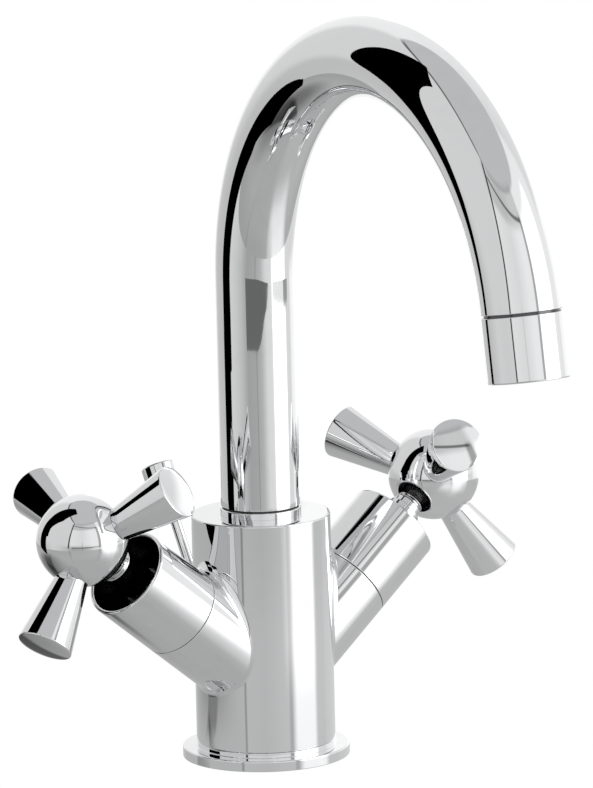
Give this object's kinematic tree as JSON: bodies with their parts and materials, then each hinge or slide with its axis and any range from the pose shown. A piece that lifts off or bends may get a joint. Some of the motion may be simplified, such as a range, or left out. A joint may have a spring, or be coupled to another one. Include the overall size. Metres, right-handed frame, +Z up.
{
  "type": "bathroom mixer faucet",
  "caption": "Deck-mounted chrome basin mixer with a swan-neck swivel spout, ball handles with conical spokes on angled branches, and a pop-up lift rod behind.",
  "frame": {"origin": "centre of the flange's underside, on the deck plane", "axes": "+Z up from the deck; the spout leads towards -Y when centred; the hot handle is on -X, the cold handle on +X, the lift rod on +Y"},
  "size_m": [0.2206, 0.2565, 0.3245],
  "materials": {
    "chrome": "polished",
    "brass": "turned",
    "steel": "bright zinc or stainless",
    "black_rubber": "matte",
    "white_plastic": "moulded acetal",
    "ceramic": "lapped alumina"
  },
  "bodies": {
    "body": {"mixer_body": "chrome", "base_flange": "chrome", "base_gasket": "black_rubber", "spout_collar": "chrome", "spout_slip_washer": "black_rubber", "spout_bush": "white_plastic", "spout_grub_screw": "steel", "hot_shroud": "chrome", "hot_headwork": "brass", "hot_headwork_seal": "black_rubber", "hot_seat_washer": "black_rubber", "hot_fixed_disc": "ceramic", "cold_shroud": "chrome", "cold_headwork": "brass", "cold_headwork_seal": "black_rubber", "cold_seat_washer": "black_rubber", "cold_fixed_disc": "ceramic", "rod_bush": "white_plastic", "rod_o_ring": "black_rubber", "fixing_studs": "steel", "horseshoe_gasket": "black_rubber", "horseshoe_washer": "steel", "fixing_nuts": "brass"},
    "spout": {"spout_tube": "chrome", "spout_spigot": "brass", "spout_o_rings": "black_rubber", "outlet_bush": "brass", "aerator_housing": "chrome", "aerator_washer": "black_rubber", "aerator_screen": "steel", "aerator_cartridge": "white_plastic"},
    "hot_handle": {"hot_moving_disc": "ceramic", "hot_spindle": "brass", "hot_spindle_seals": "black_rubber", "hot_circlip": "steel", "hot_handle_hub": "chrome", "hot_handle_screw": "steel", "hot_spoke_1": "chrome", "hot_spoke_2": "chrome", "hot_spoke_3": "chrome"},
    "cold_handle": {"cold_moving_disc": "ceramic", "cold_spindle": "brass", "cold_spindle_seals": "black_rubber", "cold_circlip": "steel", "cold_handle_hub": "chrome", "cold_handle_screw": "steel", "cold_spoke_1": "chrome", "cold_spoke_2": "chrome", "cold_spoke_3": "chrome"},
    "lift": {"lift_rod": "chrome", "lift_knob": "chrome"}
  },
  "joints": [
    {"name": "spout_swivel", "type": "hinge", "parent": "body", "child": "spout", "pos_m": [0, 0, 0.09], "axis": [0, 0, 1], "range_deg": [-52, 68]},
    {"name": "hot_handle_turn", "type": "hinge", "parent": "body", "child": "hot_handle", "pos_m": [-0.079, 0, 0.08902], "axis": [-0.788, 0, 0.6157], "range_deg": [0, 90]},
    {"name": "cold_handle_turn", "type": "hinge", "parent": "body", "child": "cold_handle", "pos_m": [0.079, 0, 0.08902], "axis": [0.788, 0, 0.6157], "range_deg": [-90, 0]},
    {"name": "lift_rod_slide", "type": "slide", "parent": "body", "child": "lift", "axis": [0, 0.454, 0.891], "range_m": [0, 0.025]}
  ]
}
